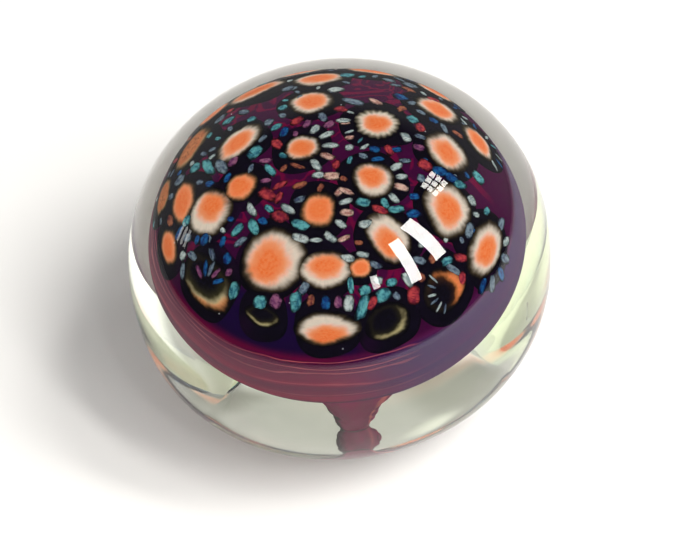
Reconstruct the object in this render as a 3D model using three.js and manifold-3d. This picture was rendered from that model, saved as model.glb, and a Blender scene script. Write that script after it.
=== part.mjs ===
// Millefiori studio-glass paperweight. Millimetres, +Z up, base on z = 0.
// A mushroom of aubergine glass set with millefiori canes, standing on a short
// ragged stem inside a thick clear encasement with a flat ground base.
import * as THREE from "three";
import { mergeVertices } from "three/addons/utils/BufferGeometryUtils.js";
import Module from "manifold-3d";

const wasm = await Module();
wasm.setup();

// ---- driving dimensions -------------------------------------------------
const BODY_RADIUS = 39;
const BODY_HEIGHT = 56.5;
const EQUATOR_Z = 24.5;
const BASE_RADIUS = 14;
const UPPER_POWER = 2.3;
const LOWER_POWER = 2.6;

const CAP_RADIUS = 26.5;
const CAP_RIM_Z = 31.5;
const CAP_TOP_Z = 46.5;
const STEM_RADIUS = 3.2;
const STEM_TOP_Z = 7;
const STEM_FOOT_RADIUS = 1.9;
const FUNNEL_SLOPE_POWER = 3.2;
const FUNNEL_CURL_POWER = 1.8;

const SEAM = 0.3;
const CAVITY_CLEARANCE = 0.6;
const STEM_SPLIT_Z = 8;
const STEM_FOOT_Z = 0.1;
const STEM_BORE_RADIUS = 2.7;

const BED_THICKNESS = 1.1;
const FLOWER_PROUD = 0.25;

const BODY_SEGMENTS = 56;
const CAP_SEGMENTS = 32;
const FLOWER_SEGMENTS = 12;
const CASE_SEGMENTS = 14;
const STAR_POINTS = 9;
const STAR_DEPTH = 0.07;
const FINEST = 0.08;

// ---- colours ------------------------------------------------------------
const CLEAR = { color: 0xe9f0d8, roughness: 0.03, metalness: 0, opacity: 0.3 };
const AUBERGINE = { color: 0x4b0a37, roughness: 0.18, metalness: 0 };
const STEM_PURPLE = { color: 0x6e3c4b, roughness: 0.25, metalness: 0 };
const CASE_BLACK = { color: 0x120c18, roughness: 0.2, metalness: 0 };
const ORANGE = { color: 0xff7d41, roughness: 0.3, metalness: 0 };
const ORANGE_CREAM = { color: 0xf3a077, roughness: 0.3, metalness: 0 };
const CREAM = { color: 0xe1cdb4, roughness: 0.3, metalness: 0 };
const SLIP_COLOURS = {
  teal: { color: 0x5aaabe, roughness: 0.25, metalness: 0 },
  blue: { color: 0x145aa0, roughness: 0.25, metalness: 0 },
  grey: { color: 0xbec8d2, roughness: 0.25, metalness: 0 },
  red: { color: 0xaa323c, roughness: 0.25, metalness: 0 },
  mauve: { color: 0x823c5a, roughness: 0.25, metalness: 0 },
};

// ---- the canes ----------------------------------------------------------
// Place on the cap: azimuth about +Z from +X and tilt from the crown, degrees.
// "along" runs round the weight and "down" runs down the slope, millimetres:
// both are the size of the orange and cream flower. "turn" twists the flower
// in its own plane. "kase" is the radius of the dark casing round it.
const CANES = [
  { az: 135, tilt: 12, along: 5, down: 5, turn: 0, kase: 7, look: "plain" },
  { az: -33, tilt: 18, along: 6.5, down: 6, turn: 0, kase: 7, look: "star" },
  { az: 42, tilt: 27, along: 7.5, down: 7.5, turn: 0, kase: 7, look: "star" },
  { az: -105, tilt: 21, along: 5.5, down: 6, turn: 15, kase: 4.5, look: "plain" },
  { az: -176, tilt: 33, along: 5.5, down: 5, turn: 20, kase: 4.5, look: "plain" },
  { az: 95, tilt: 36, along: 7, down: 6.5, turn: 0, kase: 5.5, look: "round" },
  { az: 147, tilt: 39, along: 8.5, down: 5.5, turn: 0, kase: 5.5, look: "round" },
  { az: -61, tilt: 39, along: 6, down: 8, turn: -10, kase: 5, look: "round" },
  { az: -125, tilt: 45, along: 9, down: 9, turn: 0, kase: 6, look: "round" },
  { az: -98, tilt: 45, along: 7.5, down: 5, turn: 0, kase: 4.5, look: "round" },
  { az: -81, tilt: 46, along: 3.5, down: 3, turn: 0, kase: 2.5, look: "plain" },
  { az: 8, tilt: 47, along: 8.5, down: 6.5, turn: 0, kase: 6, look: "star" },
  { az: -26, tilt: 49, along: 9, down: 7.5, turn: 0, kase: 6, look: "star" },
  { az: -171, tilt: 49, along: 7.5, down: 7, turn: 0, kase: 5, look: "round" },
  { az: 89, tilt: 58, along: 8, down: 5, turn: 0, kase: 5.5, look: "round" },
  { az: 36, tilt: 59, along: 7.5, down: 5.5, turn: 0, kase: 6, look: "round" },
  { az: 175, tilt: 62, along: 7.5, down: 4.5, turn: 0, kase: 5, look: "plain" },
  { az: 113, tilt: 68, along: 9, down: 5, turn: 0, kase: 5.5, look: "round" },
  { az: 147, tilt: 68, along: 9, down: 4.5, turn: 0, kase: 5.5, look: "round" },
  { az: 18, tilt: 69, along: 7.5, down: 5, turn: 0, kase: 5, look: "round" },
  { az: -148, tilt: 70, along: 8, down: 5, turn: 0, kase: 6, look: "round" },
  { az: -98, tilt: 72, along: 8.5, down: 4.5, turn: 0, kase: 5, look: "round" },
  { az: -52, tilt: 73, along: 5.5, down: 4.5, turn: 0, kase: 6, look: "plain" },
  { az: -76, tilt: 74, along: 4.5, down: 3.5, turn: 0, kase: 5.5, look: "olive" },
  { az: 71, tilt: 76, along: 8, down: 4, turn: 0, kase: 4.5, look: "round" },
  { az: -28, tilt: 76, along: 9, down: 5.5, turn: 0, kase: 6, look: "round" },
  { az: -122, tilt: 70, along: 4.5, down: 2.5, turn: 0, kase: 4, look: "olive" },
  { az: 165, tilt: 80, along: 6, down: 4, turn: 0, kase: 4.5, look: "round" },
  { az: -173, tilt: 78, along: 6, down: 4, turn: 0, kase: 4.5, look: "plain" },
  { az: 48, tilt: 79, along: 6.5, down: 4, turn: 0, kase: 4.5, look: "round" },
  { az: 128, tilt: 79, along: 6.5, down: 4, turn: 0, kase: 4.5, look: "plain" },
  { az: 95, tilt: 79, along: 7, down: 4, turn: 0, kase: 4.5, look: "round" },
];

// Loose slips of coloured cane between the flowers: place, size along and
// down, twist, colour.
const SLIPS = [
  { az: -112, tilt: 58, along: 2.4, down: 1.8, turn: 0, colour: "teal" },
  { az: -101, tilt: 59, along: 1.6, down: 1.8, turn: 5, colour: "grey" },
  { az: -93, tilt: 59, along: 1.6, down: 1.6, turn: 0, colour: "mauve" },
  { az: -85, tilt: 60, along: 1.6, down: 3, turn: 25, colour: "teal" },
  { az: -74, tilt: 58, along: 2.2, down: 1.6, turn: 40, colour: "teal" },
  { az: -123, tilt: 61, along: 1.6, down: 1.2, turn: 0, colour: "grey" },
  { az: 5, tilt: 20, along: 1.6, down: 2.2, turn: 0, colour: "blue" },
  { az: 30, tilt: 12, along: 2.2, down: 1.5, turn: 30, colour: "blue" },
  { az: -155, tilt: 27, along: 1.6, down: 2, turn: 20, colour: "red" },
  { az: -140, tilt: 33, along: 2.2, down: 1.6, turn: 30, colour: "red" },
  { az: 72, tilt: 30, along: 1.6, down: 2, turn: 20, colour: "red" },
  { az: -42, tilt: 33, along: 1.7, down: 1.7, turn: 0, colour: "teal" },
  { az: -95, tilt: 35, along: 2, down: 1.5, turn: 0, colour: "grey" },
  { az: 60, tilt: 43, along: 2.4, down: 1.5, turn: 0, colour: "grey" },
  { az: 165, tilt: 20, along: 1.6, down: 1.6, turn: 0, colour: "blue" },
  { az: 160, tilt: 56, along: 1.7, down: 2, turn: 0, colour: "grey" },
];

// Cutting columns reach this far into and out of the cap.
const REACH_IN = 3;
const REACH_OUT = 3;

const DEG = Math.PI / 180;
const FULL_TURN = 2 * Math.PI;

// ---- solids -------------------------------------------------------------
function solidFrom(geometry) {
  geometry.deleteAttribute("normal");
  if (geometry.hasAttribute("uv")) {
    geometry.deleteAttribute("uv");
  }
  const WELD = 1e-4;
  const merged = mergeVertices(geometry, WELD);
  const index = merged.index.array;
  const tris = [];
  for (let i = 0; i < index.length; i += 3) {
    const [a, b, c] = [index[i], index[i + 1], index[i + 2]];
    if (a !== b && b !== c && c !== a) {
      tris.push(a, b, c);
    }
  }
  const mesh = new wasm.Mesh({
    numProp: 3,
    vertProperties: new Float32Array(merged.attributes.position.array),
    triVerts: new Uint32Array(tris),
  });
  return new wasm.Manifold(mesh);
}

function geometryFrom(solid) {
  const mesh = solid.getMesh();
  const geometry = new THREE.BufferGeometry();
  const stride = mesh.numProp;
  const count = mesh.vertProperties.length / stride;
  const position = new Float32Array(count * 3);
  for (let i = 0; i < count; i++) {
    for (let k = 0; k < 3; k++) {
      position[i * 3 + k] = mesh.vertProperties[i * stride + k];
    }
  }
  geometry.setAttribute("position", new THREE.BufferAttribute(position, 3));
  geometry.setIndex(new THREE.BufferAttribute(new Uint32Array(mesh.triVerts), 1));
  geometry.computeVertexNormals();
  return geometry;
}

// A profile of [radius, height] points turned about the Z axis.
function revolve(profile, segments) {
  const points = profile.map(([r, z]) => new THREE.Vector2(r, z));
  const geometry = new THREE.LatheGeometry(points, segments);
  geometry.rotateX(Math.PI / 2);
  return solidFrom(geometry);
}

// ---- profiles -----------------------------------------------------------
// Quarter of a rounded dome from [radius, 0] up to [0, height].
function domeArc(radius, height, power, steps) {
  const arc = [];
  for (let i = 0; i <= steps; i++) {
    const a = (Math.PI / 2) * (i / steps);
    const r = i === steps ? 0 : radius * Math.cos(a) ** (2 / power);
    arc.push([r, height * Math.sin(a) ** (2 / power)]);
  }
  return arc;
}

function bodyOutline() {
  const STEPS_BELOW = 10;
  const STEPS_ABOVE = 16;
  const reach = (1 - (BASE_RADIUS / BODY_RADIUS) ** LOWER_POWER) ** (1 / LOWER_POWER);
  const outline = [];
  for (let i = 0; i < STEPS_BELOW; i++) {
    const depth = Math.sin((Math.PI / 2) * (1 - i / STEPS_BELOW)) * reach;
    const r = BODY_RADIUS * (1 - depth ** LOWER_POWER) ** (1 / LOWER_POWER);
    outline.push([r, EQUATOR_Z * (1 - depth / reach)]);
  }
  const dome = domeArc(BODY_RADIUS, BODY_HEIGHT - EQUATOR_Z, UPPER_POWER, STEPS_ABOVE);
  return outline.concat(dome.map(([r, z]) => [r, z + EQUATOR_Z]));
}

function funnelRadius(z) {
  const u = (z - STEM_TOP_Z) / (CAP_RIM_Z - STEM_TOP_Z);
  if (u <= 0) {
    const v = 1 - z / STEM_TOP_Z;
    return STEM_RADIUS + (STEM_FOOT_RADIUS - STEM_RADIUS) * v * v;
  }
  const swell = (1 - (1 - u) ** FUNNEL_SLOPE_POWER) ** FUNNEL_CURL_POWER;
  return STEM_RADIUS + (CAP_RADIUS - STEM_RADIUS) * swell;
}

// Mushroom outline from the axis at height "from" up to the crown, grown
// outwards by "grow".
function mushroomOutline(from, grow) {
  const STEPS_FUNNEL = 10;
  const STEPS_CAP = 9;
  const outline = [[0, from]];
  for (let i = 0; i < STEPS_FUNNEL; i++) {
    const z = from + (CAP_RIM_Z - from) * (i / STEPS_FUNNEL);
    outline.push([funnelRadius(z) + grow, z]);
  }
  const cap = domeArc(CAP_RADIUS + grow, CAP_TOP_Z + grow - CAP_RIM_Z, 2, STEPS_CAP);
  return outline.concat(cap.map(([r, z]) => [r, z + CAP_RIM_Z]));
}

// ---- placing things on the cap -----------------------------------------
// Matrix whose Z axis is the outward normal of the cap at the given place,
// X runs round the weight and Y runs down the slope.
function seat(az, tilt, turn) {
  const rise = CAP_TOP_Z - CAP_RIM_Z;
  const [sa, ca] = [Math.sin(az * DEG), Math.cos(az * DEG)];
  const [st, ct] = [Math.sin(tilt * DEG), Math.cos(tilt * DEG)];
  const origin = new THREE.Vector3(CAP_RADIUS * st * ca, CAP_RADIUS * st * sa,
    CAP_RIM_Z + rise * ct);
  const down = new THREE.Vector3(CAP_RADIUS * ct * ca, CAP_RADIUS * ct * sa, -rise * st);
  down.normalize();
  const round = new THREE.Vector3(-sa, ca, 0);
  const out = new THREE.Vector3().crossVectors(down, round);
  const matrix = new THREE.Matrix4().makeBasis(down, round, out);
  matrix.setPosition(origin);
  return matrix.multiply(new THREE.Matrix4().makeRotationZ(turn * DEG));
}

// Upright oval column in the seat's frame; "star" gives the scalloped edge
// of a canes with petals.
function column(downSize, alongSize, below, above, segments, star) {
  const shape = new THREE.Shape();
  for (let i = 0; i < segments; i++) {
    const a = FULL_TURN * (i / segments);
    const petal = star ? 1 - STAR_DEPTH * (i % 2) : 1;
    const x = 0.5 * downSize * petal * Math.cos(a);
    const y = 0.5 * alongSize * petal * Math.sin(a);
    if (i === 0) {
      shape.moveTo(x, y);
    } else {
      shape.lineTo(x, y);
    }
  }
  shape.closePath();
  const geometry = new THREE.ExtrudeGeometry(shape, {
    depth: below + above, bevelEnabled: false, curveSegments: 1,
  });
  geometry.translate(0, 0, -below);
  return geometry;
}

function slipBlock(chip, grow) {
  const [down, along] = [chip.down + 2 * grow, chip.along + 2 * grow];
  const geometry = new THREE.BoxGeometry(down, along, REACH_IN + REACH_OUT);
  geometry.applyMatrix4(seat(chip.az, chip.tilt, chip.turn));
  return solidFrom(geometry);
}


function flowerColumn(cane, grow) {
  const star = cane.look === "star";
  const segments = star ? 2 * STAR_POINTS : FLOWER_SEGMENTS;
  const geometry = column(cane.down + 2 * grow, cane.along + 2 * grow, REACH_IN,
    REACH_OUT, segments, star);
  geometry.applyMatrix4(seat(cane.az, cane.tilt, cane.turn));
  return solidFrom(geometry);
}

function caseColumn(cane, grow) {
  const DEEP = 6;
  const size = 2 * (cane.kase + grow);
  const geometry = column(size, size, DEEP, REACH_OUT, CASE_SEGMENTS, false);
  geometry.applyMatrix4(seat(cane.az, cane.tilt, 0));
  return solidFrom(geometry);
}

// ---- the pieces ---------------------------------------------------------
function encasement() {
  const outside = revolve([[0, 0], ...bodyOutline()], BODY_SEGMENTS);
  const hollow = revolve(mushroomOutline(STEM_TOP_Z, CAVITY_CLEARANCE), CAP_SEGMENTS);
  const bore = wasm.Manifold.cylinder(STEM_TOP_Z + 2, STEM_BORE_RADIUS,
    STEM_RADIUS + CAVITY_CLEARANCE, CAP_SEGMENTS).translate([0, 0, -1]);
  return outside.subtract(hollow).subtract(bore);
}

// The stem is a pulled neck of colour with torn, ragged edges: rings of
// uneven radius stacked up the axis.
function stem() {
  const RINGS = 16;
  const SIDES = 28;
  const RAGGED = 0.34;
  const TEETH = [1.7, 2.9, 4.3];
  const positions = [];
  const index = [];
  const top = STEM_SPLIT_Z - SEAM;
  for (let j = 0; j <= RINGS; j++) {
    const z = STEM_FOOT_Z + (top - STEM_FOOT_Z) * (j / RINGS);
    for (let i = 0; i < SIDES; i++) {
      const a = FULL_TURN * (i / SIDES);
      const flank = Math.abs(Math.cos(a)) ** 3;
      const tear = Math.sin(TEETH[0] * j + 2 * i) * Math.sin(TEETH[1] * j + i)
        * Math.cos(TEETH[2] * j);
      const r = funnelRadius(z) - RAGGED * 0.5 + RAGGED * flank * tear;
      positions.push(r * Math.cos(a), r * Math.sin(a), z);
    }
  }
  positions.push(0, 0, STEM_FOOT_Z, 0, 0, top);
  const foot = (RINGS + 1) * SIDES;
  for (let i = 0; i < SIDES; i++) {
    const n = (i + 1) % SIDES;
    for (let j = 0; j < RINGS; j++) {
      const [a, b] = [j * SIDES + i, j * SIDES + n];
      index.push(a, b, b + SIDES, a, b + SIDES, a + SIDES);
    }
    index.push(foot, n, i, foot + 1, RINGS * SIDES + i, RINGS * SIDES + n);
  }
  const geometry = new THREE.BufferGeometry();
  geometry.setAttribute("position", new THREE.Float32BufferAttribute(positions, 3));
  geometry.setIndex(index);
  geometry.computeVertexNormals();
  return solidFrom(geometry);
}

function unionOf(solids) {
  return wasm.Manifold.union(solids);
}

// Cutting pockets can leave loose crumbs at the rim; only the body stays,
// with slivers finer than FINEST smoothed away.
function bodyOf(solid) {
  const pieces = solid.simplify(FINEST).decompose();
  return pieces.reduce((best, one) => (one.volume() > best.volume() ? one : best));
}

// Solid above an inner cap surface lying "depth" under the true one.
function capSkin(depth, proud) {
  const outer = revolve(mushroomOutline(STEM_SPLIT_Z, proud), CAP_SEGMENTS);
  const inner = revolve(mushroomOutline(STEM_SPLIT_Z - 1, -depth), CAP_SEGMENTS);
  return outer.subtract(inner);
}

const group = new THREE.Group();
group.name = "millefiori_paperweight";

function addPart(name, solid, look) {
  const material = new THREE.MeshStandardMaterial({
    color: look.color, roughness: look.roughness, metalness: look.metalness,
  });
  if (look.opacity) {
    material.transparent = true;
    material.opacity = look.opacity;
  }
  const mesh = new THREE.Mesh(geometryFrom(solid), material);
  mesh.name = name;
  group.add(mesh);
}

function twoDigits(n) {
  return String(n).padStart(2, "0");
}

const FLOWER_LOOKS = { plain: ORANGE, round: ORANGE_CREAM, star: ORANGE_CREAM, olive: CREAM };

addPart("clear_encasement", encasement(), CLEAR);

const flowerPockets = unionOf(CANES.map((cane) => flowerColumn(cane, SEAM)));
const slipPockets = unionOf(SLIPS.map((chip) => slipBlock(chip, SEAM)));
const cases = unionOf(CANES.map((cane) => caseColumn(cane, 0)));
const casesWide = unionOf(CANES.map((cane) => caseColumn(cane, SEAM)));
const upperHalf = wasm.Manifold.cube([100, 100, 100], true)
  .translate([0, 0, CAP_RIM_Z + 50]);

const bed = capSkin(BED_THICKNESS, 0).intersect(cases).intersect(upperHalf)
  .subtract(flowerPockets).subtract(slipPockets);

const recessLayer = capSkin(BED_THICKNESS + SEAM, REACH_OUT);
const bedRecess = recessLayer.intersect(casesWide)
  .intersect(upperHalf.translate([0, 0, -SEAM]));
const ground = revolve(mushroomOutline(STEM_SPLIT_Z, 0), CAP_SEGMENTS)
  .subtract(bedRecess).subtract(slipPockets.intersect(recessLayer));

addPart("aubergine_ground", bodyOf(ground), AUBERGINE);
addPart("aubergine_stem", stem(), STEM_PURPLE);
addPart("casing_bed", bodyOf(bed), CASE_BLACK);

const flowerLayer = capSkin(BED_THICKNESS, FLOWER_PROUD);
CANES.forEach((cane, i) => {
  const flower = flowerColumn(cane, 0).intersect(flowerLayer);
  addPart(`flower_cane_${twoDigits(i + 1)}`, bodyOf(flower), FLOWER_LOOKS[cane.look]);
});
SLIPS.forEach((chip, i) => {
  const slip = slipBlock(chip, 0).intersect(flowerLayer);
  const name = `colour_slip_${twoDigits(i + 1)}_${chip.colour}`;
  addPart(name, bodyOf(slip), SLIP_COLOURS[chip.colour]);
});

export default group;
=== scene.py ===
import math
import random

import bpy
from mathutils import Matrix, Vector, noise


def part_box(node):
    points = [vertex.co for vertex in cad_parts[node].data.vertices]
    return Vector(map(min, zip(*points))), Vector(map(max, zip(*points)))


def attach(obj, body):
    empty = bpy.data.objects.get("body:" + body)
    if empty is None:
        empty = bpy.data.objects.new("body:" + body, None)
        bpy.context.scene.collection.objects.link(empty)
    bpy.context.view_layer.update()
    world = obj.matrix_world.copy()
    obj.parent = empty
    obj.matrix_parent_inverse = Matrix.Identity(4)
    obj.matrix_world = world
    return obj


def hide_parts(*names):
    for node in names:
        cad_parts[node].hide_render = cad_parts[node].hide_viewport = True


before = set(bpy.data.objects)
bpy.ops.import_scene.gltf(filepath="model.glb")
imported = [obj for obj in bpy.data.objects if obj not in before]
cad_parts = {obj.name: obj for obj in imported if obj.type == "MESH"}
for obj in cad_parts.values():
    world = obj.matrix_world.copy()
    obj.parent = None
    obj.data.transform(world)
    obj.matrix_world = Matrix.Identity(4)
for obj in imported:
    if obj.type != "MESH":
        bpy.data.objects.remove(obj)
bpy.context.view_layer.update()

# ---- dimensions, metres, as in the CAD ----------------------------------
MM = 0.001
BODY_LOW, BODY_HIGH = (Vector(v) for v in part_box("clear_encasement"))
BODY_RADIUS = (BODY_HIGH.x - BODY_LOW.x) / 2
BODY_HEIGHT = BODY_HIGH.z
FLOOR_DROP = 0.05 * MM
EQUATOR_Z = 24.5 * MM
BASE_RADIUS = 14 * MM
UPPER_POWER = 2.3
LOWER_POWER = 2.6

GROUND_LOW, GROUND_HIGH = (Vector(v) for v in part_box("aubergine_ground"))
CAP_RADIUS = (GROUND_HIGH.x - GROUND_LOW.x) / 2
CAP_TOP_Z = 46.5 * MM
CAP_RIM_Z = 31.5 * MM
CAP_RISE = CAP_TOP_Z - CAP_RIM_Z
STEM_RADIUS = 3.2 * MM
STEM_TOP_Z = 7 * MM
STEM_FOOT_RADIUS = 1.9 * MM
FUNNEL_SLOPE_POWER = 3.2
FUNNEL_CURL_POWER = 1.8

NECK_SWELL = 2.3 * MM  # the bell where the stem turns into the funnel
NECK_FROM, NECK_FULL = 2.0 * MM, 6.8 * MM
NECK_FADE, NECK_END = 8.5 * MM, 14.5 * MM
STEM_SPLIT_Z = 8.0 * MM  # the stem and the mushroom are two pieces from here
STEM_FOOT_Z = 0.12 * MM
STEM_LEAN = 0.9 * MM  # how far the foot of the stem stands off the axis

ROWS_BELOW, ROWS_ABOVE = 60, 110  # rings of the body under and over its equator
BODY_SIDES = 256
FUNNEL_ROWS, CAP_ROWS, GROUND_SIDES = 70, 60, 160
GROUND_RIPPLE = 0.006
STEM_ROWS, STEM_SIDES = 130, 96
STEM_NARROWING = 0.32  # how much thinner the stem's foot is than the CAD's
STEM_WAVE = 0.10 * MM
TEAR_DEPTH, TOOTH_DEPTH = 0.24 * MM, 0.85 * MM
OVAL_SHARE = 0.006  # how far the hand-turned body is from round
OVAL_TURN = math.radians(45)

ON_AXIS = 1e-7
SLOPE_STEP = 0.1 * MM
SEED = 4


# ---- profiles -----------------------------------------------------------
def ease(t):
    """Smooth step from 0 at t = 0 to 1 at t = 1."""
    t = min(max(t, 0.0), 1.0)
    return t * t * (3 - 2 * t)


def funnel_radius(z):
    """Radius of the ground below its rim, down to the stem's foot."""
    u = min((z - STEM_TOP_Z) / (CAP_RIM_Z - STEM_TOP_Z), 1.0)
    if u <= 0:
        v = 1 - z / STEM_TOP_Z
        return STEM_RADIUS + (STEM_FOOT_RADIUS - STEM_RADIUS) * v * v
    swell = (1 - (1 - u) ** FUNNEL_SLOPE_POWER) ** FUNNEL_CURL_POWER
    return STEM_RADIUS + (CAP_RADIUS - STEM_RADIUS) * swell


def neck_swell(z):
    """How far the colour bells out where the stem turns into the funnel."""
    up = ease((z - NECK_FROM) / (NECK_FULL - NECK_FROM))
    down = ease((z - NECK_FADE) / (NECK_END - NECK_FADE))
    return NECK_SWELL * up * (1 - down)


def body_profile():
    """(radius, z) from the foot of the wall to the crown."""
    reach = (1 - (BASE_RADIUS / BODY_RADIUS) ** LOWER_POWER) ** (1 / LOWER_POWER)
    line = []
    for i in range(ROWS_BELOW):
        depth = math.sin(math.pi / 2 * (1 - i / ROWS_BELOW)) * reach
        r = BODY_RADIUS * (1 - depth**LOWER_POWER) ** (1 / LOWER_POWER)
        line.append((r, EQUATOR_Z * (1 - depth / reach)))
    rise = BODY_HEIGHT - EQUATOR_Z
    for i in range(ROWS_ABOVE + 1):
        a = math.pi / 2 * i / ROWS_ABOVE
        c = max(math.cos(a), 0.0) if i < ROWS_ABOVE else 0.0
        z = EQUATOR_Z + rise * math.sin(a) ** (2 / UPPER_POWER)
        line.append((BODY_RADIUS * c ** (2 / UPPER_POWER), z))
    return line


# ---- meshes -------------------------------------------------------------
def new_object(name, verts, faces, smooth=True):
    mesh = bpy.data.meshes.new(name)
    mesh.from_pydata(verts, [], faces)
    mesh.validate()
    mesh.update()
    if smooth:
        mesh.polygons.foreach_set("use_smooth", [True] * len(mesh.polygons))
    obj = bpy.data.objects.new(name, mesh)
    bpy.context.scene.collection.objects.link(obj)
    return obj


def add_attribute(obj, name, values):
    layer = obj.data.attributes.new(name, "FLOAT_VECTOR", "POINT")
    flat = [c for v in values for c in v]
    layer.data.foreach_set("vector", flat)


def turned(profile, sides, shift=None):
    """Vertices and faces of a closed solid turned about Z. The profile runs
    upwards; its ends are closed on the axis. shift(r, z, angle) -> (r, z)."""
    verts, faces = [], []
    rows = []
    for r, z in profile:
        if r < ON_AXIS:
            rows.append([len(verts)])
            verts.append((0.0, 0.0, z))
            continue
        row = []
        for i in range(sides):
            a = 2 * math.pi * i / sides
            rr, zz = shift(r, z, a) if shift else (r, z)
            row.append(len(verts))
            verts.append((rr * math.cos(a), rr * math.sin(a), zz))
        rows.append(row)
    for low, high in zip(rows, rows[1:]):
        for i in range(sides):
            n = (i + 1) % sides
            if len(low) == 1:
                faces.append((low[0], high[n], high[i]))
            elif len(high) == 1:
                faces.append((low[i], low[n], high[0]))
            else:
                faces.append((low[i], low[n], high[n], high[i]))
    return verts, faces


# ---- places on the cap --------------------------------------------------
class Seat:
    """Frame on the cap under a CAD node: origin, down the slope, round the
    weight and outwards."""

    def __init__(self, az, tilt):
        sa, ca = math.sin(az), math.cos(az)
        st, ct = math.sin(tilt), math.cos(tilt)
        self.origin = Vector((CAP_RADIUS * st * ca, CAP_RADIUS * st * sa,
                              CAP_RIM_Z + CAP_RISE * ct))
        self.down = Vector((CAP_RADIUS * ct * ca, CAP_RADIUS * ct * sa,
                            -CAP_RISE * st)).normalized()
        self.round = Vector((-sa, ca, 0.0))
        self.out = self.down.cross(self.round)

    def place(self, down, along, lift):
        """Point of the cap's surface next to the seat, lifted off it."""
        p = self.origin + self.down * down + self.round * along
        p, normal = on_cap(p)
        return p + normal * lift


def on_cap(p):
    """Nearest-by point on the ground's surface, and the normal there."""
    r = math.hypot(p.x, p.y)
    if p.z >= CAP_RIM_Z:
        s = math.hypot(r / CAP_RADIUS, (p.z - CAP_RIM_Z) / CAP_RISE)
        q = Vector((p.x / s, p.y / s, CAP_RIM_Z + (p.z - CAP_RIM_Z) / s))
        n = Vector((q.x / CAP_RADIUS**2, q.y / CAP_RADIUS**2,
                    (q.z - CAP_RIM_Z) / CAP_RISE**2))
        return q, n.normalized()
    wide = funnel_radius(p.z) / r
    q = Vector((p.x * wide, p.y * wide, p.z))
    rise = funnel_radius(p.z + SLOPE_STEP) - funnel_radius(p.z - SLOPE_STEP)
    slope = rise / (2 * SLOPE_STEP)
    return q, Vector((p.x / r, p.y / r, -slope)).normalized()


def seat_of(node):
    """Seat of a CAD node, with its size down the slope and round."""
    points = [v.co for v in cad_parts[node].data.vertices]
    middle = sum(points, Vector()) / len(points)
    az = math.atan2(middle.y, middle.x)
    tilt = math.atan2(math.hypot(middle.x, middle.y) / CAP_RADIUS,
                      (middle.z - CAP_RIM_Z) / CAP_RISE)
    seat = Seat(az, tilt)
    downs = [(p - seat.origin).dot(seat.down) for p in points]
    alongs = [(p - seat.origin).dot(seat.round) for p in points]
    down_mid = (max(downs) + min(downs)) / 2
    along_mid = (max(alongs) + min(alongs)) / 2
    size = (max(downs) - min(downs), max(alongs) - min(alongs))
    return seat, (down_mid, along_mid), size


# ---- materials ----------------------------------------------------------
def new_material(name):
    mat = bpy.data.materials.new(name)
    mat.use_nodes = True
    nt = mat.node_tree
    nt.nodes.clear()
    out = nt.nodes.new("ShaderNodeOutputMaterial")
    shader = nt.nodes.new("ShaderNodeBsdfPrincipled")
    nt.links.new(shader.outputs[0], out.inputs["Surface"])
    return mat, nt, shader, out


class Graph:
    """Short names for the node kinds the materials use."""

    def __init__(self, nt):
        self.nt = nt

    def link(self, value, socket):
        if isinstance(value, bpy.types.NodeSocket):
            self.nt.links.new(value, socket)
        elif value is not None:
            socket.default_value = value

    def math(self, op, a, b=None, c=None):
        n = self.nt.nodes.new("ShaderNodeMath")
        n.operation = op
        self.link(a, n.inputs[0])
        self.link(b, n.inputs[1])
        self.link(c, n.inputs[2])
        return n.outputs[0]

    def vector(self, op, a, b=None):
        n = self.nt.nodes.new("ShaderNodeVectorMath")
        n.operation = op
        self.link(a, n.inputs[0])
        self.link(b, n.inputs[1])
        return n.outputs["Value"] if op in {"LENGTH", "DOT_PRODUCT"} else n.outputs[0]

    def times(self, first, *others):
        """Product of all its values."""
        for value in others:
            first = self.math("MULTIPLY", first, value)
        return first

    def off_middle(self, value, share, base):
        """base pushed up or down by share of how far a noise is from 0.5."""
        return self.math("MULTIPLY_ADD", self.math("SUBTRACT", value, 0.5), share, base)

    def ramp(self, value, low, high, most=1.0):
        """Smooth step of value from low to high, which may run downwards."""
        n = self.nt.nodes.new("ShaderNodeMapRange")
        n.interpolation_type = "SMOOTHSTEP"
        self.link(value, n.inputs["Value"])
        self.link(low, n.inputs["From Min"])
        self.link(high, n.inputs["From Max"])
        n.inputs["To Max"].default_value = most
        return n.outputs[0]

    def mix(self, factor, a, b):
        n = self.nt.nodes.new("ShaderNodeMix")
        n.data_type = "RGBA"
        self.link(factor, n.inputs[0])
        self.link(a, n.inputs[6])
        self.link(b, n.inputs[7])
        return n.outputs[2]

    def noise(self, vector, scale, detail=2.0, rough=0.5, distortion=0.0):
        n = self.nt.nodes.new("ShaderNodeTexNoise")
        self.link(vector, n.inputs["Vector"])
        n.inputs["Scale"].default_value = scale
        n.inputs["Detail"].default_value = detail
        n.inputs["Roughness"].default_value = rough
        n.inputs["Distortion"].default_value = distortion
        return n.outputs["Fac"]

    def object_coordinates(self):
        return self.nt.nodes.new("ShaderNodeTexCoord").outputs["Object"]

    def attribute(self, name):
        n = self.nt.nodes.new("ShaderNodeAttribute")
        n.attribute_name = name
        return n.outputs["Vector"]

    def split(self, vector):
        n = self.nt.nodes.new("ShaderNodeSeparateXYZ")
        self.link(vector, n.inputs[0])
        return n.outputs

    def join(self, x, y, z):
        n = self.nt.nodes.new("ShaderNodeCombineXYZ")
        for value, socket in zip((x, y, z), n.inputs):
            self.link(value, socket)
        return n.outputs[0]


def srgb(r, g, b):
    """8-bit colour as the linear values a socket takes."""
    def channel(v):
        v /= 255
        return v / 12.92 if v <= 0.04045 else ((v + 0.055) / 1.055) ** 2.4
    return (channel(r), channel(g), channel(b), 1.0)


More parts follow.
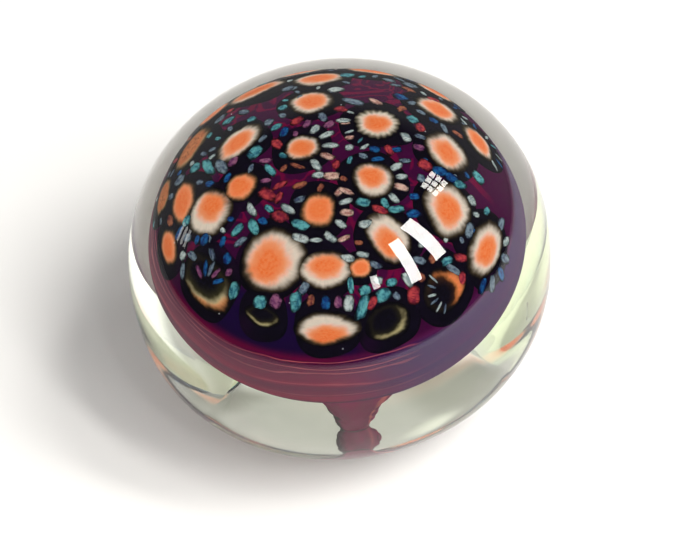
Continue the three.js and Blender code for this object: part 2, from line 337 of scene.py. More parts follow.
BLACK = srgb(9, 6, 15)
ORANGE = srgb(255, 140, 84)
DEEP_ORANGE = srgb(252, 118, 60)
PALE_ORANGE = srgb(255, 164, 118)
SLATE_PURPLE = srgb(60, 42, 98)
CREAM = srgb(242, 226, 214)
PINK_CREAM = srgb(255, 204, 186)
OLIVE = srgb(84, 70, 48)
PURPLE = srgb(80, 8, 62)
DARK_PURPLE = srgb(44, 5, 50)
BLUE_BLACK = srgb(20, 6, 56)
WINE = srgb(142, 10, 62)
SALMON = srgb(214, 104, 112)
STEM_TINT = srgb(180, 24, 100)
STEM_SHADE = srgb(104, 18, 66)
STEM_EDGE = srgb(44, 16, 24)
CASING_DARK = srgb(8, 5, 14)
CASING_BLUE = srgb(16, 9, 30)
CASING_PURPLE = srgb(30, 8, 38)
NIGHT_BLUE = srgb(18, 14, 34)
SLIP_GRAIN = srgb(24, 18, 44)


def painted(mat, shader, colour, roughness=0.4):
    """Inner colours lie in glass of the same index, so they have no sheen."""
    mat.node_tree.links.new(colour, shader.inputs["Base Color"])
    shader.inputs["Roughness"].default_value = roughness
    shader.inputs["Specular IOR Level"].default_value = 0.0
    return mat


CLEAR = (1.0, 1.0, 1.0, 1.0)
GLASS_IOR = 1.5
GLASS_TINT = (0.86, 0.90, 0.70, 1.0)
GLASS_DENSITY = 7.0


def glass_material():
    mat, nt, shader, out = new_material("clear_glass")
    shader.inputs["Base Color"].default_value = CLEAR
    shader.inputs["Roughness"].default_value = 0.0
    shader.inputs["IOR"].default_value = GLASS_IOR
    shader.inputs["Transmission Weight"].default_value = 1.0
    absorb = nt.nodes.new("ShaderNodeVolumeAbsorption")
    absorb.inputs["Color"].default_value = GLASS_TINT
    absorb.inputs["Density"].default_value = GLASS_DENSITY
    nt.links.new(absorb.outputs[0], out.inputs["Volume"])
    return mat


# Salmon threads under the rim: height, half width in millimetres, strength.
THREADS = [(30.5, 0.15, 0.9), (29.2, 0.12, 0.7), (28.0, 0.18, 0.5), (25.6, 0.25, 0.3),
           (22.5, 0.25, 0.3)]
THREAD_WANDER = 5 * MM  # how far a thread dips and rises on its way round
BELT = (CAP_RIM_Z - 0.5 * MM, CAP_RIM_Z - 3 * MM, CAP_RIM_Z - 10 * MM, CAP_RIM_Z - 14 * MM)
SWIRLS_FROM = (CAP_RIM_Z + 4 * MM, CAP_RIM_Z + 8 * MM)
POOL_FOOT = (CAP_RIM_Z + 0.4 * MM, CAP_RIM_Z + 2.2 * MM)
POOL_TOP = (CAP_RIM_Z + 8.5 * MM, CAP_RIM_Z + 6.5 * MM)


def thread_mask(g, where, height):
    """Where the salmon threads run: on the front and the left, and broken."""
    x, _, _ = g.split(where)
    mask = None
    for level, half_width, strength in THREADS:
        gap = g.math("ABSOLUTE", g.math("SUBTRACT", height, level * MM))
        one = g.ramp(gap, half_width * MM, 0.2 * half_width * MM, strength)
        mask = one if mask is None else g.math("MAXIMUM", mask, one)
    front_left = g.ramp(x, 20 * MM, -4 * MM)
    broken = g.ramp(g.noise(where, 60.0, 1.0), 0.38, 0.55)
    return g.times(mask, g.times(front_left, broken))


def swirl_mask(g, where):
    """Curls of wine between the flowers on the upper cap."""
    _, _, z = g.split(where)
    curl = g.noise(where, 95.0, 2.0, 0.5, 2.2)
    band = g.math("SINE", g.times(curl, 26.0))
    return g.times(g.ramp(band, 0.35, 0.98), g.ramp(z, *SWIRLS_FROM))


def pool_mask(g, where, cloud):
    """A blue-black pool under the front row of flowers, on the left."""
    x, y, z = g.split(where)
    under = g.ramp(z, *POOL_TOP)
    over = g.ramp(g.math("MULTIPLY_ADD", cloud, 2 * MM, z), *POOL_FOOT)
    side = g.times(g.ramp(x, 4 * MM, -1 * MM), g.ramp(y, -8 * MM, -14 * MM))
    return g.times(under, over, side)


def ground_material():
    """Aubergine glass with wine and salmon threads drawn round it."""
    mat, nt, shader, _ = new_material("aubergine_swirl")
    g = Graph(nt)
    where = g.object_coordinates()
    x, _, z = g.split(where)
    cloud = g.noise(where, 45.0, 3.0)
    flat = g.vector("MULTIPLY", where, (22.0, 22.0, 120.0))
    height = g.off_middle(g.noise(flat, 1.6, 3.0, 0.55), THREAD_WANDER, z)
    broad = g.ramp(g.noise(g.join(0.1, 0.2, height), 260.0, 1.0, 0.5), 0.44, 0.60)
    below = g.ramp(z, CAP_RIM_Z + 1 * MM, CAP_RIM_Z - 2 * MM)
    belt = g.times(g.ramp(z, BELT[0], BELT[1]), g.ramp(z, BELT[3], BELT[2]))
    right = g.ramp(x, -6 * MM, 12 * MM)
    colour = g.mix(cloud, PURPLE, DARK_PURPLE)
    colour = g.mix(g.times(broad, below, 0.8), colour, WINE)
    colour = g.mix(g.times(belt, 0.35), colour, WINE)
    colour = g.mix(g.times(below, right, 0.8), colour, SLATE_PURPLE)
    colour = g.mix(thread_mask(g, where, height), colour, SALMON)
    colour = g.mix(g.times(swirl_mask(g, where), 0.5), colour, WINE)
    colour = g.mix(g.times(pool_mask(g, where, cloud), 0.92), colour, BLUE_BLACK)
    return painted(mat, shader, colour)


STREAK_BEARING = -0.55  # radians; the salmon streak down the stem's front right
DARK_FLANK_FROM = (2.62, 2.95)  # radians; the dark left flank


def stem_material():
    """Wine and purple drawn down together, with one salmon streak."""
    mat, nt, shader, _ = new_material("stem_torn_colour")
    g = Graph(nt)
    where = g.object_coordinates()
    x, y, z = g.split(where)
    tall = g.vector("MULTIPLY", where, (260.0, 260.0, 60.0))
    cloud = g.noise(tall, 1.4, 3.0, 0.6)
    angle = g.math("ARCTAN2", y, x)
    wander = g.noise(g.join(0.0, 0.0, z), 420.0, 2.0, 0.6)
    drift = g.math("MULTIPLY_ADD", wander, 0.9, angle)
    off = g.math("ABSOLUTE", g.math("SUBTRACT", drift, STREAK_BEARING))
    colour = g.mix(cloud, STEM_TINT, STEM_SHADE)
    colour = g.mix(g.times(g.ramp(off, 0.22, 0.05), 0.9), colour, SALMON)
    # the left flank of the stem is darker
    dark_flank = g.ramp(g.math("ABSOLUTE", angle), *DARK_FLANK_FROM)
    colour = g.mix(g.times(dark_flank, 0.85), colour, STEM_EDGE)
    return painted(mat, shader, colour, 0.45)


def casing_material():
    mat, nt, shader, _ = new_material("casing_black")
    g = Graph(nt)
    where = g.object_coordinates()
    cloud = g.noise(where, 260.0, 3.0, 0.6)
    blotch = g.noise(where, 90.0, 2.0, 0.5)
    colour = g.mix(cloud, CASING_DARK, CASING_BLUE)
    colour = g.mix(g.ramp(blotch, 0.54, 0.72), colour, CASING_PURPLE)
    return painted(mat, shader, colour)


def flower_material(name, look):
    """Orange core in a cream ring that frays into the dark casing. The
    attribute "petal" is the place across the flower, whose edge is at 1 from
    the middle, and "heart" says where the core sits and how large it is."""
    mat, nt, shader, _ = new_material(name)
    g = Graph(nt)
    px, py, seed = g.split(g.attribute("petal"))
    hx, hy, hr = g.split(g.attribute("heart"))
    local = g.join(px, py, g.times(seed, 7.3))
    wobble = g.noise(local, 1.3, 2.0, 0.5)
    core_wobble = g.noise(g.vector("ADD", local, (4.1, 2.7, 1.3)), 1.6, 2.0, 0.5)
    speckle = g.noise(local, 11.0, 3.0, 0.6)
    radius = g.vector("LENGTH", g.join(px, py, 0.0))
    angle = g.math("ARCTAN2", py, px)
    # fibres of the drawn cane, finer round the flower than across it
    spread = g.math("MAXIMUM", radius, 0.15)
    fibre = g.noise(g.join(g.math("DIVIDE", px, spread), g.math("DIVIDE", py, spread),
                           g.math("MULTIPLY_ADD", radius, 0.35, seed)), 7.5, 3.0, 0.6)
    teeth = g.math("SINE", g.times(angle, look["teeth"]))
    border = g.off_middle(wobble, 0.45, radius)
    border = g.off_middle(fibre, look["fray"], border)
    border = g.math("MULTIPLY_ADD", teeth, look["scallop"], border)
    cx, cy = g.math("SUBTRACT", px, hx), g.math("SUBTRACT", py, hy)
    core = g.vector("LENGTH", g.join(cx, cy, 0.0))
    core = g.off_middle(core_wobble, 0.45, core)
    core = g.off_middle(fibre, 0.12, core)
    core = g.off_middle(speckle, 0.10, g.math("DIVIDE", core, hr))
    orange = g.mix(g.ramp(speckle, 0.38, 0.72), look["core"], look["fleck"])
    orange = g.mix(g.ramp(core, 0.45, 1.0), orange, look["blush"])
    flesh = g.mix(g.ramp(core, 1.0, 1.35), look["flesh"], look["ring"])
    flesh = g.mix(g.ramp(fibre, 0.45, 0.75, 0.12), flesh, look["rim"])
    colour = g.mix(g.ramp(core, 0.80, 1.18), orange, flesh)
    colour = g.mix(g.ramp(border, 0.66, 1.00), colour, look["rim"])
    colour = g.mix(g.ramp(border, 0.80, 1.10), colour, BLACK)
    return painted(mat, shader, colour)


ROUND_LOOK = dict(core=ORANGE, fleck=DEEP_ORANGE, blush=PALE_ORANGE, flesh=PINK_CREAM,
                  ring=CREAM, rim=OLIVE, teeth=17.0, scallop=0.008, fray=0.11)


def look_of(**own):
    return {**ROUND_LOOK, **own}


LOOKS = {
    "round": look_of(),
    "star": look_of(teeth=19.0, scallop=0.036, fray=0.14, rim=srgb(150, 140, 120)),
    "plain": look_of(flesh=srgb(226, 128, 84), ring=srgb(196, 130, 90)),
    "night": look_of(core=BLACK, fleck=NIGHT_BLUE, blush=srgb(40, 36, 22),
                     flesh=srgb(206, 190, 140), ring=srgb(196, 184, 140),
                     rim=srgb(34, 30, 20)),
    "ember": look_of(core=BLACK, fleck=NIGHT_BLUE, blush=srgb(60, 36, 22),
                     flesh=srgb(240, 140, 80), ring=srgb(230, 130, 80),
                     rim=srgb(40, 32, 22)),
    "dusk": look_of(core=BLACK, fleck=NIGHT_BLUE, blush=srgb(60, 56, 32),
                    flesh=srgb(205, 190, 150), ring=srgb(244, 160, 104),
                    rim=srgb(40, 34, 22)),
    "drawn": look_of(core=srgb(232, 146, 96), fleck=srgb(120, 66, 46),
                     blush=srgb(206, 120, 78), flesh=srgb(206, 160, 120),
                     ring=srgb(150, 120, 84)),
}


def slip_material(name, tint, second):
    """Small slips of colour, darker towards their edges. The attribute
    "slip" runs from -1 to 1 across the slip both ways."""
    mat, nt, shader, _ = new_material(name)
    g = Graph(nt)
    sx, sy, seed = g.split(g.attribute("slip"))
    local = g.join(sx, sy, g.times(seed, 5.1))
    cloud = g.noise(local, 1.2, 3.0, 0.6)
    grain = g.noise(g.vector("MULTIPLY", local, (5.0, 0.9, 1.0)), 1.3, 2.0, 0.5)
    fade = g.vector("LENGTH", g.join(sx, sy, 0.0))
    fade = g.off_middle(cloud, 0.7, fade)
    colour = g.mix(g.ramp(cloud, 0.36, 0.66), tint, second)
    colour = g.mix(g.ramp(grain, 0.50, 0.74, 0.7), colour, SLIP_GRAIN)
    colour = g.mix(g.ramp(fade, 0.62, 1.12, 0.95), colour, BLACK)
    return painted(mat, shader, colour)


def bubble_material():
    mat, nt, shader, _ = new_material("bubble_glint")
    g = Graph(nt)
    cloud = g.noise(g.object_coordinates(), 900.0)
    colour = g.mix(cloud, srgb(250, 250, 250), srgb(190, 200, 210))
    return painted(mat, shader, colour, 0.3)


def floor_material():
    mat, nt, shader, _ = new_material("paper_floor")
    g = Graph(nt)
    cloud = g.noise(g.object_coordinates(), 3.0, 2.0)
    colour = g.mix(cloud, srgb(246, 245, 243), srgb(242, 241, 238))
    return painted(mat, shader, colour, 0.9)


# ---- canes --------------------------------------------------------------
# For each flower node in turn: radius of its dark casing in millimetres; the
# heart of the flower, down the slope and round, as a share of its size; the
# core's size; how far the flower spreads past its node; and its look.
CASINGS = [
    (5.6, (0.0, 0.06), 0.70, 1.18, "round"),
    (6.0, (-0.10, 0.12), 0.66, 1.10, "round"),
    (6.4, (0.0, 0.0), 0.58, 0.98, "star"),
    (5.4, (0.0, 0.0), 0.86, 1.08, "plain"),
    (5.0, (0.0, 0.0), 0.84, 1.06, "plain"),
    (5.6, (0.0, 0.0), 0.66, 1.04, "round"),
    (5.8, (0.0, 0.0), 0.66, 1.08, "round"),
    (5.6, (0.18, -0.22), 0.62, 1.06, "round"),
    (6.6, (0.10, -0.06), 0.66, 1.14, "round"),
    (5.0, (-0.26, 0.0), 0.64, 1.12, "round"),
    (2.8, (0.0, 0.0), 0.80, 1.06, "plain"),
    (5.8, (-0.10, 0.0), 0.62, 1.06, "round"),
    (5.8, (-0.08, 0.0), 0.56, 1.08, "round"),
    (5.6, (-0.24, -0.20), 0.66, 1.08, "round"),
    (5.4, (0.0, 0.0), 0.66, 1.06, "round"),
    (5.8, (0.0, 0.0), 0.64, 1.06, "round"),
    (5.4, (0.0, 0.0), 0.86, 1.06, "plain"),
    (5.6, (0.0, 0.0), 0.72, 1.06, "round"),
    (5.6, (0.0, 0.0), 0.80, 1.06, "drawn"),
    (5.6, (0.0, 0.0), 0.70, 0.94, "round"),
    (6.2, (-0.30, -0.30), 0.98, 1.36, "dusk"),
    (5.4, (0.42, 0.0), 0.66, 1.12, "round"),
    (6.0, (0.05, -0.44), 0.98, 1.34, "ember"),
    (5.4, (-0.32, -0.24), 1.02, 1.50, "night"),
    (5.4, (0.0, 0.0), 0.72, 1.04, "round"),
    (6.4, (0.0, -0.04), 0.56, 1.14, "round"),
    (4.4, (-0.40, 0.0), 1.04, 1.20, "night"),
    (5.0, (0.0, 0.0), 0.80, 1.04, "drawn"),
    (5.0, (0.0, 0.0), 0.80, 1.04, "plain"),
    (5.4, (0.0, 0.0), 0.66, 1.04, "round"),
    (5.0, (0.0, 0.0), 0.80, 1.04, "plain"),
    (5.4, (0.0, 0.0), 0.66, 1.04, "round"),
]
FLOWERS = [f"flower_cane_{i + 1:02d}" for i in range(len(CASINGS))]

# Flowers whose long side is turned from the level, in degrees.
TURNS = {5: 30, 7: -18, 9: -20, 13: 20, 18: -8}

# Arcs of staves still standing in the casings: flower number, first and last
# bearing from the downhill side in degrees, radius, length and width in
# millimetres, and the tints in turn.
STAVES = [
    (1, -75, -200, 4.9, 2.9, 1.45, ("grey", "grey", "grey", "pale", "grey")),
    (2, 62, -40, 4.9, 2.5, 1.3, ("grey", "grey", "pale", "grey", "teal")),
    (4, 140, 60, 4.6, 2.3, 1.2, ("pale", "grey", "pale", "grey")),
    (3, 100, 190, 5.2, 1.6, 0.6, ("grey", "pale", "grey", "teal")),
    (20, -70, 90, 4.6, 2.2, 0.55, ("grey", "blue", "grey", "teal", "grey", "blue", "grey")),
    (26, -50, 80, 5.7, 3.2, 1.5, ("blue", "slate", "blue", "slate", "grey", "slate")),
    (16, -60, 70, 5.0, 1.5, 0.8, ("slate", "grey", "blue", "slate", "grey")),
    (19, 60, 150, 4.8, 1.6, 0.9, ("slate", "blue", "grey", "slate")),
    (14, 40, 130, 4.6, 1.7, 0.9, ("blue", "slate", "grey", "blue")),
    (21, 130, 250, 2.4, 2.2, 0.8, ("blue", "mauve", "slate", "blue", "mauve")),
    (23, 200, 330, 2.6, 1.7, 0.4, ("grey", "slate", "grey", "slate", "grey", "slate")),
    (12, -150, -60, 5.0, 1.6, 0.9, ("blue", "teal", "slate", "blue")),
    (13, -70, 60, 5.2, 1.5, 0.9, ("grey", "slate", "blue", "grey", "slate")),
    (7, -40, 70, 5.0, 1.6, 0.9, ("slate", "teal", "slate", "grey", "slate")),
    (6, -60, 60, 4.8, 1.4, 0.8, ("slate", "grey", "slate", "teal")),
    (15, -120, 120, 5.0, 1.4, 0.9, ("slate", "grey", "slate", "teal", "grey", "slate")),
    (28, -90, 90, 4.4, 1.4, 0.8, ("slate", "grey", "teal", "slate")),
    (30, -90, 90, 4.4, 1.5, 0.8, ("blue", "grey", "slate", "blue")),
]

# Chips of broken cane: azimuth and tilt of the place in degrees, length and
# width in millimetres, turn from the downhill side, and tint.
CHIPS = [
    (69, 35, 4.2, 1.6, 80, "slate"), (75, 29, 2.4, 1.6, 80, "red"),
    (57, 39, 2.6, 1.2, 80, "pale"), (69, 22, 2.4, 1.2, -75, "grey"),
    (89, 24, 2.6, 1.5, 15, "slate"), (180, 11, 2.8, 0.8, -35, "brown"),
    (158, 17, 1.8, 1.1, -30, "teal"), (143, 22, 2.8, 1.7, -25, "red"),
    (127, 24, 2.6, 1.4, -55, "blue"), (111, 26, 2.4, 1.7, -75, "red"),
    (112, 38, 1.7, 1.5, 80, "teal"), (103, 53, 2.3, 1.7, -70, "slate"),
    (105, 22, 2.2, 1.3, -40, "mauve"), (49, 14, 1.6, 1.0, -40, "pale"),
    (21, 15, 2.0, 0.7, 15, "grey"), (13, 18, 1.9, 1.4, -35, "blue"),
    (9, 23, 2.4, 1.3, -80, "red"), (9, 26, 1.7, 1.2, 5, "blue"),
    (4, 13, 1.7, 1.2, -35, "slate"), (-5, 8, 1.8, 0.8, 75, "teal"),
    (155, 29, 3.0, 2.4, 65, "teal"), (177, 21, 3.0, 1.3, -60, "teal"),
    (162, 37, 2.2, 1.6, 75, "mauve"), (164, 42, 4.0, 1.7, -55, "slate"),
    (162, 49, 4.2, 1.7, -55, "teal"), (129, 43, 1.6, 1.4, 75, "teal"),
    (126, 34, 2.0, 1.5, -70, "slate"), (133, 55, 2.3, 1.6, 80, "teal"),
    (-124, 7, 2.0, 1.3, -65, "grey"), (-84, 7, 2.8, 1.6, 75, "pale"),
    (-61, 10, 1.3, 1.0, 20, "brown"), (-158, 25, 3.4, 2.0, -65, "red"),
    (-141, 14, 2.4, 1.2, -30, "brown"), (-155, 33, 3.0, 1.2, 85, "grey"),
    (-145, 37, 3.0, 1.6, 75, "teal"), (-143, 33, 1.8, 1.2, -75, "blue"),
    (-135, 28, 3.2, 1.8, -80, "red"), (-133, 24, 2.8, 1.3, 90, "grey"),
    (-117, 28, 3.2, 1.6, 85, "teal"), (-114, 33, 3.0, 1.4, 85, "grey"),
    (-104, 33, 2.1, 0.8, -85, "grey"), (-86, 33, 2.2, 0.9, -80, "pale"),
    (-70, 15, 2.8, 1.0, 40, "pale"), (-61, 22, 2.4, 1.5, 45, "teal"),
    (-54, 28, 2.6, 1.4, 30, "red"), (-69, 30, 2.4, 1.4, 80, "grey"),
    (-45, 32, 2.8, 1.3, 50, "teal"), (-40, 38, 2.5, 1.4, 55, "blue"),
    (-86, 41, 2.4, 1.2, 65, "grey"), (-78, 36, 1.4, 0.9, 75, "brown"),
    (-78, 41, 2.2, 1.0, 65, "grey"), (-136, 64, 2.7, 1.8, 10, "teal"),
    (-124, 64, 2.5, 2.2, 5, "teal"), (-118, 61, 2.2, 2.0, 5, "mauve"),
    (-110, 59, 3.2, 1.9, 0, "teal"), (-104, 58, 1.8, 1.2, -5, "brown"),
    (-98, 59, 2.0, 1.6, -10, "blue"), (-93, 59, 1.9, 1.3, -10, "mauve"),
    (-89, 60, 2.7, 1.6, -15, "grey"), (-84, 63, 4.2, 1.7, -30, "teal"),
    (-80, 62, 2.3, 1.3, -45, "red"), (-75, 60, 2.7, 1.9, -70, "teal"),
    (-70, 56, 1.8, 1.3, -85, "teal"), (-64, 66, 2.7, 2.2, -40, "red"),
    (-6, 42, 2.6, 1.8, 5, "blue"), (-8, 47, 2.4, 1.8, -25, "blue"),
    (-10, 51, 2.3, 1.7, 5, "teal"), (-4, 36, 2.5, 2.2, -30, "red"),
    (-15, 58, 1.9, 1.4, -45, "grey"), (-2, 61, 2.4, 1.8, -40, "teal"),
    (-28, 62, 3.0, 1.5, -80, "slate"), (-45, 62, 2.2, 1.3, 75, "teal"),
    (-45, 67, 3.0, 1.2, 25, "slate"), (-44, 74, 2.1, 1.5, -55, "red"),
    (-161, 56, 2.1, 1.6, 20, "blue"), (-175, 61, 1.8, 1.8, 45, "teal"),
    (160, 57, 2.0, 2.0, 70, "teal"), (163, 66, 2.1, 2.2, 80, "slate"),
    (-153, 50, 1.8, 1.1, 30, "blue"), (100, 41, 1.7, 1.4, -80, "slate"),
    (81, 44, 2.6, 1.7, -80, "grey"), (50, 50, 2.4, 1.8, -90, "blue"),
    (33, 41, 2.2, 1.7, -75, "teal"), (20, 32, 2.3, 1.5, -85, "grey"),
    (10, 35, 1.9, 1.5, -30, "mauve"), (78, 61, 2.6, 2.0, -80, "teal"),
    (54, 67, 2.5, 2.2, -85, "slate"), (42, 64, 2.1, 2.2, 85, "red"),
]
LOOSE_CHIPS = 95
LOOSE_TINTS = ["slate", "teal", "slate", "blue", "mauve", "red", "grey", "brown", "slate"]
LOOSE_LONG, LOOSE_WIDE = (1.4, 2.6), (0.9, 1.5)  # millimetres
CHIP_GAP = 2.1 * MM
CLEAR_SHARE = 1.34  # loose chips lie this many flower radii from its middle
MOST_TRIES = 6000
LOWEST_TILT = math.radians(80)

# Stretches of the cap without loose chips: azimuth in degrees, tilt in radians.
BARE_ZONES = [(44, 84, 0.62, 1.0), (104, 126, 0.66, 1.1),
              (-15, 13, math.radians(58), LOWEST_TILT),
              (-152, -55, math.radians(65), LOWEST_TILT)]

FRAYED = 1.12  # share of the flower within which its edge frays out
FLOWER_LIFT = 0.16 * MM
CASE_LIFT = 0.02 * MM
STAVE_LIFT = 0.18 * MM
STAVES_OVER = (21, 23)  # flowers whose staves stand on the flower itself
OVER_FLOWER = 0.2 * MM
CHIP_DEPTH = 0.5 * MM
PLUG_DEPTH = 1.2 * MM


def plug(verts, faces, place, radius_at, rings, sides, lift, crown):
    """Adds one closed plug that follows the cap: a gently crowned top, a
    side and a flat underside. Returns (ring share, angle) of each vertex."""
    marks = []

    def vertex(share, angle, high):
        r = radius_at(angle)
        down = r[0] * share * math.cos(angle)
        along = r[1] * share * math.sin(angle)
        verts.append(place(down, along, high))
        marks.append((share, angle))
        return len(verts) - 1

    top = vertex(0.0, 0.0, lift + crown)
    previous = None
    for k in range(1, rings + 1):
        share = k / rings
        high = lift + crown * (1 - share**2)
        ring = [vertex(share, 2 * math.pi * i / sides, high) for i in range(sides)]
        for i in range(sides):
            n = (i + 1) % sides
            if previous is None:
                faces.append((top, ring[i], ring[n]))
            else:
                faces.append((previous[i], ring[i], ring[n], previous[n]))
        previous = ring
    under = [vertex(1.0, 2 * math.pi * i / sides, -PLUG_DEPTH) for i in range(sides)]
    for i in range(sides):
        n = (i + 1) % sides
        faces.append((previous[i], under[i], under[n], previous[n]))
    foot = vertex(0.0, 0.0, -PLUG_DEPTH)
    for i in range(sides):
        faces.append((foot, under[(i + 1) % sides], under[i]))
    return marks


def build_flower(node, index):
    seat, middle, size = seat_of(node)
    rng = random.Random(SEED * 100 + index)
    lobes = [(rng.uniform(0.01, 0.03), rng.uniform(0, 6.28)) for _ in range(3)]
    _, heart, core, spread, _ = CASINGS[index]
    over = spread * FRAYED
    half = (size[0] / 2 * over, size[1] / 2 * over)

    def radius_at(angle):
        swell = 1 + sum(a * math.sin((j + 2) * angle + p)
                        for j, (a, p) in enumerate(lobes))
        return half[0] * swell, half[1] * swell

    turn = math.radians(TURNS.get(index + 1, 0))
    ct, st = math.cos(turn), math.sin(turn)

    def place(down, along, lift):
        return seat.place(middle[0] + down * ct - along * st,
                          middle[1] + down * st + along * ct, lift)

    verts, faces = [], []
    marks = plug(verts, faces, place, radius_at, 12, 48, FLOWER_LIFT, 0.12 * MM)
    obj = new_object(f"{node}_glass", verts, faces)
    add_attribute(obj, "petal", [
        (FRAYED * s * math.cos(a), FRAYED * s * math.sin(a), float(index))
        for s, a in marks])
    add_attribute(obj, "heart", [(heart[0], heart[1], core)] * len(marks))
    return obj, seat, middle, size


def build_casing_bed(seats):
    """The dark casings of all the canes, each a rounded disc laid against
    its neighbours, run together as one bed."""
    verts, faces = [], []
    for index, (seat, middle, _) in enumerate(seats):
        rng = random.Random(SEED * 300 + index)
        reach = CASINGS[index][0] * MM
        lobes = [(rng.uniform(0.01, 0.05), rng.uniform(0, 6.28)) for _ in range(3)]

        def radius_at(angle):
            swell = 1 + sum(a * math.sin((j + 2) * angle + p)
                            for j, (a, p) in enumerate(lobes))
            return reach * swell, reach * swell

        def place(down, along, lift):
            return seat.place(middle[0] + down, middle[1] + along, lift)

        lift = CASE_LIFT + 0.004 * MM * index
        plug(verts, faces, place, radius_at, 8, 40, lift, 0.02 * MM)
    return new_object("casing_bed_glass", verts, faces)


# ---- slips and staves ---------------------------------------------------
TINTS = {
    "grey": (srgb(206, 218, 220), srgb(140, 160, 166)),
    "slate": (srgb(128, 148, 164), srgb(66, 78, 108)),
    "teal": (srgb(104, 182, 190), srgb(44, 104, 128)),
    "blue": (srgb(34, 104, 166), srgb(20, 44, 110)),
    "mauve": (srgb(158, 96, 134), srgb(92, 40, 92)),
    "red": (srgb(196, 70, 74), srgb(126, 34, 58)),
    "pale": (srgb(232, 196, 182), srgb(176, 116, 110)),
    "brown": (srgb(178, 108, 76), srgb(108, 48, 56)),
}
SLOT_OF = {"grey": "grey_glass", "slate": "grey_glass", "teal": "teal_glass",
           "blue": "blue_glass", "mauve": "mauve_glass", "red": "red_glass",
           "pale": "cream_glass", "brown": "orange_cream_glass"}
CHIP_SIDES = 20


class SlipBin:
    """Collects small rounded blocks of one colour into one mesh."""

    def __init__(self):
        self.verts, self.faces, self.marks = [], [], []

    def add(self, seat, down, along, size, turn, seed, lift, corner=0.42):
        """One block: size (long, wide), its long side turned from down."""
        rng = random.Random(int(seed * 1000))
        bulges = [(rng.uniform(0.03, 0.16), rng.uniform(0, 6.28)) for _ in range(3)]
        power = 2.0 + 4.0 * (1 - corner)
        outline = []
        for i in range(CHIP_SIDES):
            t = 2 * math.pi * i / CHIP_SIDES
            c, d = math.cos(t), math.sin(t)
            r = (abs(c) ** power + abs(d) ** power) ** (-1 / power)
            r *= 1 + corner * sum(k * math.sin((j + 2) * t + q)
                                  for j, (k, q) in enumerate(bulges))
            outline.append((r * c, r * d))
        ct, st = math.cos(turn), math.sin(turn)
        start = len(self.verts)

        def vertex(u, v, high):
            lu, lv = u * size[0] / 2, v * size[1] / 2
            p = seat.place(down + lu * ct - lv * st, along + lu * st + lv * ct, high)
            self.verts.append(p)
            self.marks.append((u, v, seed))

        vertex(0, 0, lift)
        for share, high in ((0.6, lift), (1.0, lift - 0.03 * MM), (1.0, -CHIP_DEPTH)):
            for u, v in outline:
                vertex(u * share, v * share, high)
        vertex(0, 0, -CHIP_DEPTH)
        count = len(outline)
        rows = [[start + 1 + k * count + i for i in range(count)] for k in range(3)]
        foot = start + 1 + 3 * count
        for i in range(count):
            n = (i + 1) % count
            self.faces.append((start, rows[0][i], rows[0][n]))
            self.faces.append((rows[0][i], rows[1][i], rows[1][n], rows[0][n]))
            self.faces.append((rows[1][i], rows[2][i], rows[2][n], rows[1][n]))
            self.faces.append((foot, rows[2][n], rows[2][i]))

    def build(self, name):
        obj = new_object(name, self.verts, self.faces)
        add_attribute(obj, "slip", self.marks)
        return obj


OTHER_SIDE = 8 * MM  # further off a flower's face than this is round the cap


def flower_share(p, flower):
    """How far p lies from a flower's middle, in flower radii."""
    seat, middle, size = flower
    d = p - seat.origin
    down = d.dot(seat.down) - middle[0]
    along = d.dot(seat.round) - middle[1]
    if abs(d.dot(seat.out)) > OTHER_SIDE:
        return math.inf
    return math.hypot(down / (size[0] / 2), along / (size[1] / 2))


def clear_of_flowers(p, flowers):
    return all(flower_share(p, f) > CLEAR_SHARE for f in flowers)


def in_bare_zone(az, tilt):
    return any(first < math.degrees(az) < last and upper < tilt < lower
               for first, last, upper, lower in BARE_ZONES)


def add_staves(bins, flowers):
    """Arcs of little staves that stand round some of the flowers. Returns
    their places."""
    places = []
    for number, first, last, radius, long, wide, tints in STAVES:
        seat, middle, _ = flowers[number - 1]
        rng = random.Random(SEED * 500 + number)
        for k, tint in enumerate(tints):
            share = k / max(1, len(tints) - 1)
            a = math.radians(first + (last - first) * share + rng.uniform(-3, 3))
            r = radius * MM * rng.uniform(0.97, 1.03)
            down = middle[0] + r * math.cos(a)
            along = middle[1] + r * math.sin(a)
            spot = seat.place(down, along, 0.0)
            if spot.z < CAP_RIM_Z - 2 * MM:
                continue
            places.append(spot)
            size = (long * MM * rng.uniform(0.85, 1.1), wide * MM * rng.uniform(0.85, 1.1))
            bins[tint].add(seat, down, along, size, a, rng.uniform(0, 9),
                           STAVE_LIFT + (OVER_FLOWER if number in STAVES_OVER else 0.0))
    return places


def add_chips(bins, flowers, staves):
    """The larger chips one by one, then small ones wherever there is room."""
    rng = random.Random(SEED)
    taken = list(staves)
    for az, tilt, long, wide, turn, tint in CHIPS:
        seat = Seat(math.radians(az), math.radians(tilt))
        taken.append(seat.origin)
        bins[tint].add(seat, 0, 0, (long * MM, wide * MM), math.radians(turn),
                       rng.uniform(0, 9), STAVE_LIFT + 0.05 * MM, 0.75)
    tries = 0
    enough = len(taken) + LOOSE_CHIPS
    while len(taken) < enough and tries < MOST_TRIES:
        tries += 1
        az = rng.uniform(-math.pi, math.pi)
        tilt = math.acos(rng.uniform(math.cos(LOWEST_TILT), 1.0))
        seat = Seat(az, tilt)
        tint = rng.choice(LOOSE_TINTS)
        size = (rng.uniform(*LOOSE_LONG) * MM, rng.uniform(*LOOSE_WIDE) * MM)
        turn = rng.uniform(0, math.pi)
        if in_bare_zone(az, tilt) or not clear_of_flowers(seat.origin, flowers):
            continue
        if any((seat.origin - t).length < CHIP_GAP for t in taken):
            continue
        taken.append(seat.origin)
        bins[tint].add(seat, 0, 0, size, turn, rng.uniform(0, 9),
                       STAVE_LIFT + 0.04 * MM, 0.7)


